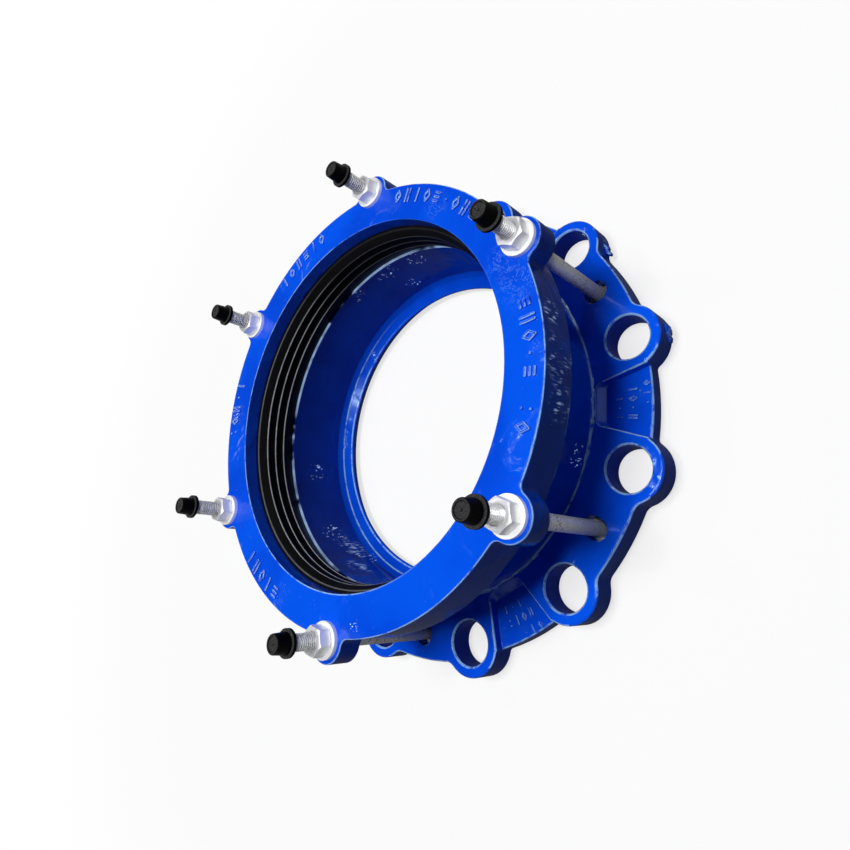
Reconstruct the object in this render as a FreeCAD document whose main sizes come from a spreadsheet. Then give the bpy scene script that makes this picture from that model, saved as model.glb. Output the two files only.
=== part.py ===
import FreeCAD, Part
import math
import os
import Sketcher

# Flange adaptor for the plain end of a pipe: a flanged cast body, a rubber gasket in its mouth and a
# clamp ring that six tie bolts draw down on the gasket.
# Millimetres. +Z is the axis, from the flange's mating face at z = 0 up to the clamp ring.
# The first tie bolt stands on +X.

doc = FreeCAD.newDocument("flange_adaptor")

# The sizes that can be set by themselves. Everything else is worked out from them, from the bore outward.
SIZES = {
    # barrel, and the lip at its foot that stops the pipe
    "barrel_bore_dia": 240.6,
    "barrel_wall": 6.8,
    "barrel_root_round": 1.8,
    "lip_ledge": 3.6,
    "lip_width": 7.2,
    "lip_height": 12.3,
    "lip_rise": 4.7,
    "lip_land": 1.4,
    "waterway_flare": 5.1,
    # mouth, and the gasket's seat in it
    "mouth_height": 82,
    "mouth_band": 10,
    "mouth_flare": 14,
    "mouth_wall": 6.5,
    "seat_depth": 19,
    "seat_ledge": 2.2,
    "seat_flare": 9.5,
    # flange
    "bolt_circle_margin": 6.5,
    "bolt_hole_dia": 28,
    "lug_radius": 21,
    "rim_margin": 8,
    "rim_blend": 3,
    "waist_rise": 2.5,
    "waist_share": 0.66,
    "waist_blend": 8,
    "flange_thick": 17,
    "raised_height": 3,
    "raised_margin": 4,
    "edge_round": 1.6,
    "hole_chamfer": 1.2,
    # cast pockets between the pairs of flange holes
    "pocket_depth": 6.5,
    "pocket_gap": 0.3,
    "pocket_draft": 4.2,
    "pocket_inner_width": 27,
    "pocket_flare": 17,
    "pocket_corner": 4,
    # gasket
    "gasket_stand": 13.7,
    "gasket_reach": 3.3,
    "gasket_lead_in": 3,
    "gasket_heel": 2,
    "ridge_height": 1.6,
    "ridge_land": 1.4,
    "ridge_pitch": 7.4,
    "soft_gap": 0.3,
    # clamp ring
    "ring_bore_gap": 2,
    "ring_mouth_gap": 1.5,
    "ring_wall": 7,
    "ring_thick": 10,
    "ring_skirt": 26,
    "ring_lug_radius": 13.6,
    "ring_lug_depth": 15,
    "ring_blend": 5,
    "ring_hole_gap": 1,
    "ring_edge_round": 1,
    # tie bolts, and their slots and seats in the flange
    "tie_mouth_gap": 10,
    "tie_count": 6,
    "thread_dia": 10,
    "thread_length": 50,
    "thread_relief": 0.4,
    "tie_spare": 24.1,
    "tie_point": 1,
    "slot_gap": 1.8,
    "slot_play": 2.8,
    "head_lap": 0.8,
    "head_wing": 5.2,
    "head_thick": 7.5,
    "head_corner": 2,
    "head_gap": 0.5,
    "head_cover": 9,
    # washers and nuts
    "washer_dia": 22,
    "washer_thick": 2.5,
    "washer_hole_gap": 0.4,
    "nut_width": 16,
    "nut_height": 8.4,
    "nut_face_share": 0.95,
    "nut_countersink": 0.5,
    "running_gap": 0.05,
    # thread caps
    "cap_wall": 1.25,
    "cap_taper": 0.65,
    "cap_grip": 8.8,
    "cap_end_thick": 2,
    "cap_collar_reach": 1.8,
    "cap_collar_thick": 2,
    "cap_rim_round": 0.8,
    "cap_dish_land": 0.5,
    "cap_dish_depth": 0.5,
}

# How far each nut is turned, in degrees, and how far each cap stops short of home.
NUT_SPINS = [43, 24, 25, 49, 48, 39]
CAP_LIFTS = [0, 0, 0, 3, 0.3, 0.2]

# How close two lengths are when they count as the same, and the least volume that a feature changes.
NEAR = 0.01
LEAST_CHANGE = 0.01

# A vector along the axis, which turns are taken about.
UPWARD = FreeCAD.Vector(0, 0, 1)

# Radii, heights and places that follow from the sizes.
WORKED = {
    "barrel_bore_radius": "Sizes.barrel_bore_dia / 2",
    "barrel_radius": "barrel_bore_radius + Sizes.barrel_wall",
    "lip_radius": "barrel_bore_radius - Sizes.lip_ledge",
    "lip_corner": "Sizes.lip_height + Sizes.lip_ledge",
    "lip_foot": "Sizes.lip_height - Sizes.lip_rise",
    "lip_edge": "lip_foot - Sizes.lip_land",
    "waterway_radius": "lip_radius - Sizes.lip_width",
    "waterway_foot_radius": "waterway_radius + Sizes.waterway_flare",
    "seat_bottom_radius": "barrel_bore_radius + Sizes.seat_ledge",
    "seat_top_radius": "seat_bottom_radius + Sizes.seat_flare",
    "seat_bottom": "Sizes.mouth_height - Sizes.seat_depth",
    "mouth_radius": "seat_top_radius + Sizes.mouth_wall",
    "mouth_flare_end": "Sizes.mouth_height - Sizes.mouth_band",
    "mouth_flare_start": "mouth_flare_end - Sizes.mouth_flare",
    "tie_radius": "mouth_radius + Sizes.tie_mouth_gap",
    "bolt_circle_radius": "tie_radius + Sizes.bolt_circle_margin",
    "bolt_hole_radius": "Sizes.bolt_hole_dia / 2",
    "bolt_hole_count": "2 * Sizes.tie_count",
    "rim_radius": "bolt_circle_radius + Sizes.rim_margin",
    "waist_radius": "rim_radius + Sizes.waist_rise",
    "raised_radius": "bolt_circle_radius - bolt_hole_radius - Sizes.raised_margin",
    "pad_face": "Sizes.raised_height + Sizes.flange_thick",
    "pocket_floor": "pad_face - Sizes.pocket_depth",
    "pocket_top_radius": "barrel_radius + Sizes.barrel_root_round + Sizes.pocket_gap",
    "pocket_floor_radius": "pocket_top_radius + Sizes.pocket_draft",
    "pocket_half": "Sizes.pocket_inner_width / 2",
    "pocket_end": "bolt_circle_radius + Sizes.lug_radius + Sizes.edge_round",
    "pocket_end_half": "pocket_half + (pocket_end - pocket_floor_radius) * tan(Sizes.pocket_flare * 1deg)",
    "pocket_top_half": "pocket_half - Sizes.pocket_draft * tan(Sizes.pocket_flare * 1deg)",
    "thread_radius": "Sizes.thread_dia / 2",
    "thread_bore_radius": "thread_radius + Sizes.running_gap",
    "shank_radius": "thread_radius - Sizes.thread_relief",
    "slot_radius": "thread_radius + Sizes.slot_gap",
    "slot_outer_centre": "tie_radius + Sizes.slot_play / 2",
    "slot_inner_centre": "tie_radius - Sizes.slot_play / 2",
    "head_half_width": "slot_radius + Sizes.slot_play / 2 + Sizes.head_lap",
    "head_half_length": "slot_radius + Sizes.head_wing",
    "head_pocket_half": "head_half_length + Sizes.head_gap",
    "head_pocket_inner": "tie_radius - head_half_width - Sizes.head_gap",
    "head_pocket_outer": "tie_radius + head_half_width + Sizes.head_gap",
    "head_top": "pad_face - Sizes.head_cover",
    "head_foot": "head_top - Sizes.head_thick",
    "gasket_top": "Sizes.mouth_height + Sizes.gasket_stand",
    "gasket_foot": "seat_bottom + Sizes.soft_gap",
    "gasket_top_radius": "seat_top_radius - Sizes.soft_gap",
    "gasket_foot_radius": "seat_bottom_radius - Sizes.soft_gap",
    "gasket_heel_radius": "gasket_foot_radius - Sizes.gasket_heel",
    "gasket_bore_radius": "barrel_bore_radius - Sizes.gasket_reach",
    "gasket_valley_radius": "gasket_bore_radius + Sizes.ridge_height",
    "gasket_mouth_radius": "gasket_bore_radius + Sizes.gasket_lead_in",
    "gasket_widening": "gasket_top_radius - gasket_foot_radius",
    "gasket_shoulder": "gasket_foot + Sizes.seat_depth * gasket_widening / Sizes.seat_flare",
    "ridge_1": "gasket_top - Sizes.ridge_pitch + Sizes.ridge_land",
    "ridge_1_foot": "ridge_1 - Sizes.ridge_land",
    "ridge_2": "ridge_1 - Sizes.ridge_pitch",
    "ridge_2_foot": "ridge_2 - Sizes.ridge_land",
    "ridge_3": "ridge_2 - Sizes.ridge_pitch",
    "ridge_3_foot": "ridge_3 - Sizes.ridge_land",
    "ring_floor": "gasket_top + Sizes.soft_gap",
    "ring_face": "ring_floor + Sizes.ring_thick",
    "ring_lug_floor": "ring_face - Sizes.ring_lug_depth",
    "skirt_end": "ring_face - Sizes.ring_skirt",
    "ring_bore_radius": "gasket_mouth_radius + Sizes.ring_bore_gap",
    "cavity_radius": "mouth_radius + Sizes.ring_mouth_gap",
    "ring_radius": "cavity_radius + Sizes.ring_wall",
    "ring_hole_radius": "thread_radius + Sizes.ring_hole_gap",
    "washer_radius": "Sizes.washer_dia / 2",
    "washer_hole_radius": "thread_radius + Sizes.washer_hole_gap",
    "nut_seat": "ring_face + Sizes.washer_thick",
    "nut_half_width": "Sizes.nut_width / 2",
    "nut_face_radius": "nut_half_width * Sizes.nut_face_share",
    "nut_chamfer_rise": "(Sizes.nut_width - nut_face_radius) * tan(30deg)",
    "nut_chamfer_foot": "Sizes.nut_height - nut_chamfer_rise",
    "tie_end": "nut_seat + Sizes.nut_height + Sizes.tie_spare",
    "bolt_length": "tie_end - head_foot",
    "bolt_point_start": "bolt_length - Sizes.tie_point",
    "bolt_thread_start": "bolt_length - Sizes.thread_length",
    "bolt_runout_start": "bolt_thread_start - Sizes.thread_relief",
    "bolt_point_radius": "thread_radius - Sizes.tie_point",
    "cap_foot": "tie_end - Sizes.cap_grip",
    "cap_height": "Sizes.cap_grip + Sizes.cap_end_thick",
    "cap_radius": "thread_bore_radius + Sizes.cap_wall",
    "cap_end_radius": "cap_radius - Sizes.cap_taper",
    "cap_collar_radius": "cap_radius + Sizes.cap_collar_reach",
    "cap_dish_rim_radius": "cap_end_radius - Sizes.cap_rim_round - Sizes.cap_dish_land",
    "cap_dish_radius": "cap_dish_rim_radius - Sizes.cap_dish_depth",
    "cap_dish_floor": "cap_height - Sizes.cap_dish_depth",
}


def fill_sheet(name, cells, prefix):
    """A sheet with one named cell for each entry."""
    sheet = doc.addObject("Spreadsheet::Sheet", name)
    for row, (alias, content) in enumerate(cells.items(), start=1):
        sheet.set("A%d" % row, alias)
        sheet.set("B%d" % row, prefix + str(content))
        sheet.setAlias("B%d" % row, alias)
        doc.recompute()
    return sheet


sizes = fill_sheet("Sizes", SIZES, "")
worked = fill_sheet("Worked", WORKED, "=")


def value(name):
    """The number behind a size or worked value."""
    sign = -1 if name.startswith("-") else 1
    name = name.lstrip("-")
    sheet = sizes if name in SIZES else worked
    return sign * float(sheet.get(name))


def ref(name):
    """The expression that reads a size or worked value."""
    sign = "-" if name.startswith("-") else ""
    name = name.lstrip("-")
    return sign + ("Sizes." if name in SIZES else "Worked.") + name


def new_body(label):
    """An empty body, named as its node."""
    body = doc.addObject("PartDesign::Body", label)
    body.Label = label
    return body


def new_sketch(body, name, plane, height=None, turn=None):
    """A sketch on one of the body's own planes, raised to a named height and turned by an expression."""
    sketch = body.newObject("Sketcher::SketchObject", name)
    face = [part for part in body.Origin.OriginFeatures if part.Role == plane][0]
    sketch.AttachmentSupport = [(face, "")]
    sketch.MapMode = "FlatFace"
    if height:
        sketch.setExpression("AttachmentOffset.Base.z", ref(height))
    if turn:
        any_turn = 10
        sketch.AttachmentOffset = FreeCAD.Placement(FreeCAD.Vector(), FreeCAD.Rotation(UPWARD, any_turn))
        sketch.setExpression("AttachmentOffset.Rotation.Angle", turn)
    return sketch


def hold(sketch, constraint, expression):
    """Add a dimension and bind it to an expression."""
    index = sketch.addConstraint(constraint)
    sketch.setExpression("Constraints[%d]" % index, expression)


def place_point(sketch, geometry, point, x, y):
    """Hold a point at two named distances from the origin, where 0 means on the axis."""
    axis_of = {"X": -2, "Y": -1}
    for direction, name in (("X", x), ("Y", y)):
        if name == 0:
            sketch.addConstraint(Sketcher.Constraint("PointOnObject", geometry, point, axis_of[direction]))
        else:
            distance = Sketcher.Constraint("Distance" + direction, -1, 1, geometry, point, value(name))
            hold(sketch, distance, ref(name))


def number(name):
    """The number behind a name, where 0 stands for no distance."""
    return value(name) if name else 0.0


def outline(sketch, corners):
    """A closed outline of straight lines through named corners."""
    points = [FreeCAD.Vector(number(x), number(y), 0) for x, y in corners]
    count = len(points)
    for index, start in enumerate(points):
        sketch.addGeometry(Part.LineSegment(start, points[(index + 1) % count]))
    for index in range(count):
        sketch.addConstraint(Sketcher.Constraint("Coincident", index, 2, (index + 1) % count, 1))
    for index, (x, y) in enumerate(corners):
        place_point(sketch, index, 1, x, y)


def circle(sketch, radius, x=0, y=0):
    """A circle of a named radius about a named centre."""
    centre = FreeCAD.Vector(number(x), number(y), 0)
    index = sketch.addGeometry(Part.Circle(centre, UPWARD, value(radius)))
    hold(sketch, Sketcher.Constraint("Radius", index, value(radius)), ref(radius))
    place_point(sketch, index, 3, x, y)


def revolve(body, name, corners, kind="Revolution", sector=None):
    """A solid, or with Groove a cut, turned about the axis from an outline of radii and heights.

    A sector turns only that far, half of it each way from the XZ plane.
    """
    sketch = new_sketch(body, name + "_profile", "XZ_Plane")
    outline(sketch, corners)
    feature = body.newObject("PartDesign::" + kind, name)
    feature.Profile = sketch
    feature.ReferenceAxis = (sketch, ["V_Axis"])
    feature.Angle = 360
    if sector:
        feature.setExpression("Angle", sector)
        feature.Midplane = True
    finish(body, feature)
    return feature


def extrude(body, name, sketch, depth, kind="Pad", upward=True):
    """A pad or pocket of a depth given by an expression, going up or down from its sketch."""
    feature = body.newObject("PartDesign::" + kind, name)
    feature.Profile = sketch
    feature.setExpression("Length", depth)
    feature.Reversed = upward == (kind == "Pocket")
    finish(body, feature)
    return feature


def repeat(body, feature, count):
    """Copies of the last feature, evenly spaced about the axis."""
    pattern = body.newObject("PartDesign::PolarPattern", feature.Name + "s")
    pattern.Originals = [feature]
    axis = [part for part in body.Origin.OriginFeatures if part.Role == "Z_Axis"][0]
    pattern.Axis = (axis, [""])
    pattern.Angle = 360
    pattern.setExpression("Occurrences", count)
    finish(body, pattern)
    return pattern


def finish(body, feature):
    """Make the feature the body's tip, and see that it changed the body's volume."""
    before = body.Shape.Volume if not body.Shape.isNull() else 0
    body.Tip = feature
    doc.recompute()
    if not feature.isValid() or abs(body.Shape.Volume - before) < LEAST_CHANGE:
        raise RuntimeError("%s of %s changes nothing" % (feature.Name, body.Label))


def dress(body, name, kind, size, test):
    """Round or chamfer the edges of the body that pass a test."""
    base = body.Tip
    names = ["Edge%d" % index for index, edge in enumerate(base.Shape.Edges, start=1) if test(edge)]
    feature = body.newObject("PartDesign::" + kind, name)
    feature.Base = (base, names)
    feature.setExpression("Radius" if kind == "Fillet" else "Size", ref(size))
    finish(body, feature)
    return feature


def is_upright(edge):
    """True for a straight edge along the axis."""
    return isinstance(edge.Curve, Part.Line) and abs(edge.tangentAt(edge.FirstParameter).z) > 0.999


def is_ring_at(edge, radius, height):
    """True for an arc or circle of a named radius about the axis, at a named height."""
    curve = edge.Curve
    return (
        isinstance(curve, Part.Circle)
        and math.hypot(curve.Center.x, curve.Center.y) < NEAR
        and abs(curve.Radius - value(radius)) < NEAR
        and abs(curve.Center.z - value(height)) < NEAR
    )


def lies_at(edge, height):
    """True for an edge that lies flat at a named height."""
    return all(abs(vertex.Z - value(height)) < NEAR for vertex in edge.Vertexes) and (
        abs(edge.CenterOfMass.z - value(height)) < NEAR
    )


def radius_of(edge):
    """Distance of an edge's centre of mass from the axis."""
    return math.hypot(edge.CenterOfMass.x, edge.CenterOfMass.y)


def is_corner_of(edge, radius):
    """True for an edge along the axis at a named radius."""
    return abs(radius_of(edge) - value(radius)) < NEAR


def turn_by(step):
    """Expression for a turn of a number of tie-bolt steps."""
    return "%s * 360deg / Sizes.tie_count" % step


def make_adaptor_body():
    """The cast body: a flange with paired lugs, a barrel with a stop lip, and a flared mouth."""
    body = new_body("body")
    revolve(body, "casting", [
        ("waterway_foot_radius", 0),
        ("raised_radius", 0),
        ("raised_radius", "raised_height"),
        ("rim_radius", "raised_height"),
        ("rim_radius", "pad_face"),
        ("barrel_radius", "pad_face"),
        ("barrel_radius", "mouth_flare_start"),
        ("mouth_radius", "mouth_flare_end"),
        ("mouth_radius", "mouth_height"),
        ("seat_top_radius", "mouth_height"),
        ("seat_bottom_radius", "seat_bottom"),
        ("barrel_bore_radius", "seat_bottom"),
        ("barrel_bore_radius", "lip_corner"),
        ("lip_radius", "lip_height"),
        ("waterway_radius", "lip_foot"),
        ("waterway_radius", "lip_edge"),
    ])
    dress(body, "barrel_root", "Fillet", "barrel_root_round",
          lambda edge: is_ring_at(edge, "barrel_radius", "pad_face"))

    lug_sketch = new_sketch(body, "lug_outline", "XY_Plane", "raised_height", "180deg / Worked.bolt_hole_count")
    circle(lug_sketch, "lug_radius", "bolt_circle_radius")
    lug = extrude(body, "lug", lug_sketch, ref("flange_thick"))
    repeat(body, lug, ref("bolt_hole_count"))

    waist = revolve(body, "waist", [
        ("bolt_circle_radius", "raised_height"),
        ("waist_radius", "raised_height"),
        ("waist_radius", "pad_face"),
        ("bolt_circle_radius", "pad_face"),
    ], sector="Sizes.waist_share * 360deg / Worked.bolt_hole_count")
    repeat(body, waist, ref("tie_count"))
    dress(body, "waist_blends", "Fillet", "waist_blend",
          lambda edge: is_upright(edge) and is_corner_of(edge, "waist_radius"))
    dress(body, "rim_blends", "Fillet", "rim_blend",
          lambda edge: is_upright(edge) and is_corner_of(edge, "rim_radius"))
    cast_pockets(body)
    dress(body, "pad_edges", "Fillet", "edge_round",
          lambda edge: lies_at(edge, "pad_face") and radius_of(edge) > value("pocket_top_radius"))
    dress(body, "pocket_rims", "Fillet", "edge_round",
          lambda edge: is_ring_at(edge, "rim_radius", "pocket_floor"))
    flange_holes(body)
    tie_seats(body)
    return body


def cast_pockets(body):
    """Shallow drafted pockets in the flange's upper face, one between each two pairs of holes."""
    turn = "180deg / Sizes.tie_count"
    floor_sketch = new_sketch(body, "pocket_floor_outline", "XY_Plane", "pocket_floor", turn)
    outline(floor_sketch, [
        ("pocket_floor_radius", "-pocket_half"),
        ("pocket_end", "-pocket_end_half"),
        ("pocket_end", "pocket_end_half"),
        ("pocket_floor_radius", "pocket_half"),
    ])
    top_sketch = new_sketch(body, "pocket_top_outline", "XY_Plane", "pad_face", turn)
    outline(top_sketch, [
        ("pocket_top_radius", "-pocket_top_half"),
        ("pocket_end", "-pocket_end_half"),
        ("pocket_end", "pocket_end_half"),
        ("pocket_top_radius", "pocket_top_half"),
    ])
    pocket = body.newObject("PartDesign::SubtractiveLoft", "cast_pocket")
    pocket.Profile = floor_sketch
    pocket.Sections = [top_sketch]
    pocket.Ruled = True
    finish(body, pocket)
    repeat(body, pocket, ref("tie_count"))
    dress(body, "pocket_corners", "Fillet", "pocket_corner", is_pocket_corner)


def is_pocket_corner(edge):
    """True for an edge that climbs from a pocket's floor to the pad face at its inner wall."""
    heights = sorted(vertex.Z for vertex in edge.Vertexes)
    climbs = (
        len(heights) == 2
        and abs(heights[0] - value("pocket_floor")) < NEAR
        and abs(heights[1] - value("pad_face")) < NEAR
    )
    return climbs and radius_of(edge) < value("bolt_circle_radius")


def flange_holes(body):
    """The holes for the mating flange's bolts."""
    sketch = new_sketch(body, "bolt_hole_outline", "XY_Plane", "pad_face", "180deg / Worked.bolt_hole_count")
    circle(sketch, "bolt_hole_radius", "bolt_circle_radius")
    hole = extrude(body, "bolt_hole", sketch, ref("flange_thick"), "Pocket", upward=False)
    repeat(body, hole, ref("bolt_hole_count"))
    dress(body, "bolt_hole_edges", "Chamfer", "hole_chamfer", is_hole_edge)


def is_hole_edge(edge):
    """True for the upper edge of a flange hole."""
    return isinstance(edge.Curve, Part.Circle) and lies_at(edge, "pad_face") and (
        abs(edge.Curve.Radius - value("bolt_hole_radius")) < NEAR
    )


def tie_seats(body):
    """Radial slots for the tie bolts, and behind each one a pocket that keeps its head from turning."""
    slot_sketch = new_sketch(body, "tie_slot_outline", "XY_Plane", "pad_face")
    slot_outline(slot_sketch)
    slot = extrude(body, "tie_slot", slot_sketch, ref("flange_thick"), "Pocket", upward=False)
    repeat(body, slot, ref("tie_count"))
    head_sketch = new_sketch(body, "head_pocket_outline", "XY_Plane", "raised_height")
    outline(head_sketch, [
        ("head_pocket_inner", "-head_pocket_half"),
        ("head_pocket_outer", "-head_pocket_half"),
        ("head_pocket_outer", "head_pocket_half"),
        ("head_pocket_inner", "head_pocket_half"),
    ])
    depth = "Worked.head_top - Sizes.raised_height"
    head_pocket = extrude(body, "head_pocket", head_sketch, depth, "Pocket")
    repeat(body, head_pocket, ref("tie_count"))


def slot_outline(sketch):
    """A slot with round ends along X, about the tie circle."""
    outer_x = value("slot_outer_centre")
    inner_x = value("slot_inner_centre")
    radius = value("slot_radius")
    quarter = math.pi / 2
    outer_circle = Part.Circle(FreeCAD.Vector(outer_x, 0, 0), UPWARD, radius)
    inner_circle = Part.Circle(FreeCAD.Vector(inner_x, 0, 0), UPWARD, radius)
    outer = sketch.addGeometry(Part.ArcOfCircle(outer_circle, -quarter, quarter))
    upper = sketch.addGeometry(Part.LineSegment(
        FreeCAD.Vector(outer_x, radius, 0), FreeCAD.Vector(inner_x, radius, 0)))
    inner = sketch.addGeometry(Part.ArcOfCircle(inner_circle, quarter, -quarter))
    lower = sketch.addGeometry(Part.LineSegment(
        FreeCAD.Vector(inner_x, -radius, 0), FreeCAD.Vector(outer_x, -radius, 0)))
    sketch.addConstraint([
        Sketcher.Constraint("Tangent", outer, 2, upper, 1),
        Sketcher.Constraint("Tangent", upper, 2, inner, 1),
        Sketcher.Constraint("Tangent", inner, 2, lower, 1),
        Sketcher.Constraint("Tangent", lower, 2, outer, 1),
    ])
    place_point(sketch, outer, 3, "slot_outer_centre", 0)
    place_point(sketch, inner, 3, "slot_inner_centre", 0)
    hold(sketch, Sketcher.Constraint("Radius", outer, radius), ref("slot_radius"))


def make_gasket():
    """A wedge of rubber with ridges round its bore, seated in the body's mouth."""
    body = new_body("gasket")
    revolve(body, "wedge", [
        ("gasket_foot_radius", "gasket_foot"),
        ("gasket_top_radius", "gasket_shoulder"),
        ("gasket_top_radius", "gasket_top"),
        ("gasket_mouth_radius", "gasket_top"),
        ("gasket_bore_radius", "ridge_1"),
        ("gasket_bore_radius", "ridge_1_foot"),
        ("gasket_valley_radius", "ridge_1_foot"),
        ("gasket_bore_radius", "ridge_2"),
        ("gasket_bore_radius", "ridge_2_foot"),
        ("gasket_valley_radius", "ridge_2_foot"),
        ("gasket_bore_radius", "ridge_3"),
        ("gasket_bore_radius", "ridge_3_foot"),
        ("gasket_heel_radius", "gasket_foot"),
    ])
    return body


def make_clamp_ring():
    """A ring with a skirt round the body's mouth and a lug for each tie bolt."""
    body = new_body("clamp_ring")
    revolve(body, "ring_blank", [
        ("ring_bore_radius", "skirt_end"),
        ("ring_radius", "skirt_end"),
        ("ring_radius", "ring_face"),
        ("ring_bore_radius", "ring_face"),
    ])
    lug_sketch = new_sketch(body, "ring_lug_outline", "XY_Plane", "ring_lug_floor")
    circle(lug_sketch, "ring_lug_radius", "tie_radius")
    lug = extrude(body, "ring_lug", lug_sketch, ref("ring_lug_depth"))
    repeat(body, lug, ref("tie_count"))
    dress(body, "ring_blends", "Fillet", "ring_blend",
          lambda edge: is_upright(edge) and is_corner_of(edge, "ring_radius"))
    dress(body, "ring_edges", "Fillet", "ring_edge_round",
          lambda edge: lies_at(edge, "ring_face") and not is_ring_at(edge, "ring_bore_radius", "ring_face"))
    revolve(body, "ring_cavity", [
        ("ring_bore_radius", "skirt_end"),
        ("cavity_radius", "skirt_end"),
        ("cavity_radius", "ring_floor"),
        ("ring_bore_radius", "ring_floor"),
    ], "Groove")
    hole_sketch = new_sketch(body, "ring_hole_outline", "XY_Plane", "ring_face")
    circle(hole_sketch, "ring_hole_radius", "tie_radius")
    hole = extrude(body, "ring_hole", hole_sketch, ref("ring_skirt"), "Pocket", upward=False)
    repeat(body, hole, ref("tie_count"))
    return body


def stand_at_tie(body, step, height, spin=0, lift=0):
    """Stand a piece on the tie circle at a named height, turned with the tie bolts' spacing."""
    nearly = 360 * step / value("tie_count") + spin + 1
    body.Placement = FreeCAD.Placement(FreeCAD.Vector(), FreeCAD.Rotation(UPWARD, nearly))
    turn = turn_by(step)
    body.setExpression("Placement.Rotation.Angle", turn + " + %s * 1deg" % spin)
    body.setExpression("Placement.Base.x", "Worked.tie_radius * cos(%s)" % turn)
    body.setExpression("Placement.Base.y", "Worked.tie_radius * sin(%s)" % turn)
    body.setExpression("Placement.Base.z", ref(height) + " + %s" % lift)
    doc.recompute()


def make_tie_bolt(step):
    """A bolt with an oblong head under the flange and a rolled thread on its upper part."""
    body = new_body("tie_bolt_%d" % (step + 1))
    head_sketch = new_sketch(body, "head_outline", "XY_Plane")
    outline(head_sketch, [
        ("-head_half_width", "-head_half_length"),
        ("head_half_width", "-head_half_length"),
        ("head_half_width", "head_half_length"),
        ("-head_half_width", "head_half_length"),
    ])
    extrude(body, "head", head_sketch, ref("head_thick"))
    dress(body, "head_corners", "Fillet", "head_corner", is_upright)
    revolve(body, "shank", [
        (0, "head_thick"),
        ("shank_radius", "head_thick"),
        ("shank_radius", "bolt_runout_start"),
        ("thread_radius", "bolt_thread_start"),
        ("thread_radius", "bolt_point_start"),
        ("bolt_point_radius", "bolt_length"),
        (0, "bolt_length"),
    ])
    stand_at_tie(body, step, "head_foot")
    return body


def make_washer(step):
    """A plain washer between the clamp ring and a nut."""
    body = new_body("washer_%d" % (step + 1))
    sketch = new_sketch(body, "washer_outline", "XY_Plane")
    circle(sketch, "washer_radius")
    circle(sketch, "washer_hole_radius")
    extrude(body, "washer_disc", sketch, ref("washer_thick"))
    stand_at_tie(body, step, "ring_face")
    return body


def make_nut(step):
    """A hexagon nut, chamfered above and below."""
    body = new_body("nut_%d" % (step + 1))
    sketch = new_sketch(body, "hexagon_outline", "XY_Plane")
    hexagon(sketch, "nut_half_width")
    extrude(body, "hexagon", sketch, ref("nut_height"))
    revolve(body, "lower_chamfer", [
        ("nut_face_radius", 0),
        ("nut_width", 0),
        ("nut_width", "nut_chamfer_rise"),
    ], "Groove")
    revolve(body, "upper_chamfer", [
        ("nut_face_radius", "nut_height"),
        ("nut_width", "nut_height"),
        ("nut_width", "nut_chamfer_foot"),
    ], "Groove")
    bore_sketch = new_sketch(body, "nut_bore_outline", "XY_Plane")
    circle(bore_sketch, "thread_bore_radius")
    extrude(body, "nut_bore", bore_sketch, ref("nut_height"), "Pocket")
    dress(body, "nut_countersinks", "Chamfer", "nut_countersink",
          lambda edge: isinstance(edge.Curve, Part.Circle)
          and abs(edge.Curve.Radius - value("thread_bore_radius")) < NEAR)
    stand_at_tie(body, step, "nut_seat", spin=NUT_SPINS[step])
    return body


def hexagon(sketch, half_width):
    """A regular hexagon about the origin, with two of its sides across the X axis."""
    reach = value(half_width) / math.cos(math.pi / 6)
    points = []
    for corner in range(6):
        angle = math.pi / 6 + corner * math.pi / 3
        points.append(FreeCAD.Vector(reach * math.cos(angle), reach * math.sin(angle), 0))
    for index, start in enumerate(points):
        sketch.addGeometry(Part.LineSegment(start, points[(index + 1) % 6]))
    ring = sketch.addGeometry(Part.Circle(FreeCAD.Vector(), UPWARD, value(half_width)), True)
    sketch.addConstraint(Sketcher.Constraint("Coincident", ring, 3, -1, 1))
    for index in range(6):
        sketch.addConstraint(Sketcher.Constraint("Coincident", index, 2, (index + 1) % 6, 1))
        sketch.addConstraint(Sketcher.Constraint("Tangent", index, ring))
    for index in range(5):
        sketch.addConstraint(Sketcher.Constraint("Equal", index, index + 1))
    sketch.addConstraint(Sketcher.Constraint("Vertical", 5))
    hold(sketch, Sketcher.Constraint("Radius", ring, value(half_width)), ref(half_width))


def make_cap(step):
    """A push-on cap over a bolt's end, with a collar at its foot and a shallow dish in its end."""
    body = new_body("cap_%d" % (step + 1))
    revolve(body, "cap_shell", [
        ("thread_bore_radius", 0),
        ("cap_collar_radius", 0),
        ("cap_collar_radius", "cap_collar_thick"),
        ("cap_radius", "cap_collar_thick"),
        ("cap_end_radius", "cap_height"),
        ("cap_dish_rim_radius", "cap_height"),
        ("cap_dish_radius", "cap_dish_floor"),
        (0, "cap_dish_floor"),
        (0, "cap_grip"),
        ("thread_bore_radius", "cap_grip"),
    ])
    dress(body, "cap_rim", "Fillet", "cap_rim_round",
          lambda edge: is_ring_at(edge, "cap_end_radius", "cap_height"))
    stand_at_tie(body, step, "cap_foot", lift=CAP_LIFTS[step])
    return body


parts = [make_adaptor_body(), make_gasket(), make_clamp_ring()]
for step in range(int(value("tie_count"))):
    parts += [make_tie_bolt(step), make_washer(step), make_nut(step), make_cap(step)]
doc.recompute()

for thing in doc.Objects:
    if "Invalid" in thing.State or "Error" in thing.State:
        raise RuntimeError("%s could not be worked out" % thing.Name)
os.makedirs("parts", exist_ok=True)
for part in parts:
    if part.Shape.isNull() or not part.Shape.isValid() or len(part.Shape.Solids) != 1:
        raise RuntimeError("%s is not one sound solid" % part.Label)
    part.Shape.exportStep("parts/%s.step" % part.Label)
    print(part.Label, round(part.Shape.Volume), len(part.Shape.Faces))
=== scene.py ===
import math

import bmesh
import bpy
from mathutils import Matrix, Vector


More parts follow.
